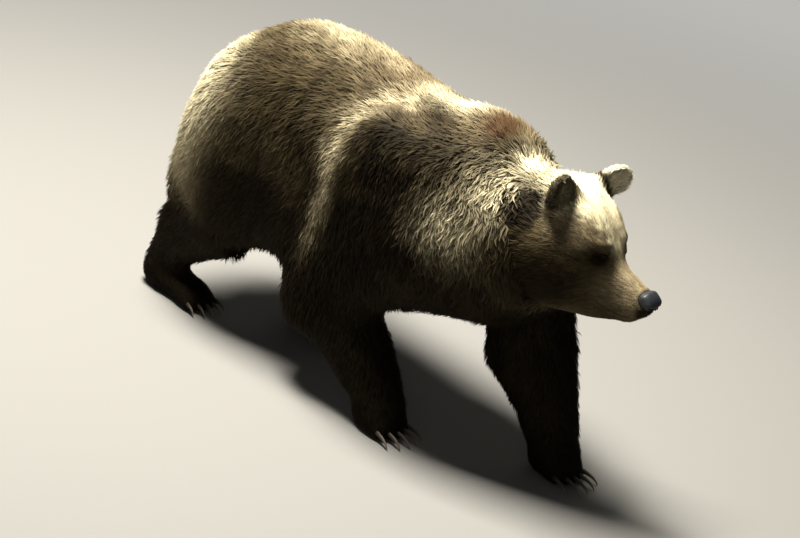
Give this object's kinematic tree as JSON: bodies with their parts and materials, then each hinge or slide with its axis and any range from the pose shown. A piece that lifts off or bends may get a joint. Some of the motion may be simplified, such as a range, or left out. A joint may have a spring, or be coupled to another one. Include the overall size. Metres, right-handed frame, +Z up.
{
  "type": "brown bear",
  "caption": "Life-size brown bear in mid-stride: humped shoulders, heavy rump, head held low and forward, round ears, short tail and long claws.",
  "frame": {"origin": "on the floor under the middle of the bear's box", "axes": "+X towards the bear's nose, along its walk; +Y towards its left side; +Z up"},
  "size_m": [1.6966, 0.6046, 0.9839],
  "materials": {
    "coat": "dense olive-brown fur with pale tips",
    "dark_coat": "near-black brown fur of the legs",
    "face_coat": "short tan fur of the head",
    "nose_leather": "moist, finely pebbled black leather",
    "eye": "glossy dark brown",
    "claw": "satin horn"
  },
  "bodies": {
    "root": {"ear_left": "coat", "ear_right": "coat", "eye_left": "eye", "eye_right": "eye", "front_left_claw_1": "claw", "front_left_claw_2": "claw", "front_left_claw_3": "claw", "front_left_claw_4": "claw", "front_left_claw_5": "claw", "front_left_forearm": "dark_coat", "front_left_paw": "dark_coat", "front_left_upper_arm": "dark_coat", "front_right_claw_1": "claw", "front_right_claw_2": "claw", "front_right_claw_3": "claw", "front_right_claw_4": "claw", "front_right_claw_5": "claw", "front_right_forearm": "dark_coat", "front_right_paw": "dark_coat", "front_right_upper_arm": "dark_coat", "head": "face_coat", "hind_left_claw_1": "claw", "hind_left_claw_2": "claw", "hind_left_claw_3": "claw", "hind_left_claw_4": "claw", "hind_left_claw_5": "claw", "hind_left_paw": "dark_coat", "hind_left_shank": "dark_coat", "hind_left_thigh": "dark_coat", "hind_right_claw_1": "claw", "hind_right_claw_2": "claw", "hind_right_claw_3": "claw", "hind_right_claw_4": "claw", "hind_right_claw_5": "claw", "hind_right_paw": "dark_coat", "hind_right_shank": "dark_coat", "hind_right_thigh": "dark_coat", "neck": "coat", "nose": "nose_leather", "tail": "coat", "trunk": "coat"}
  },
  "joints": []
}
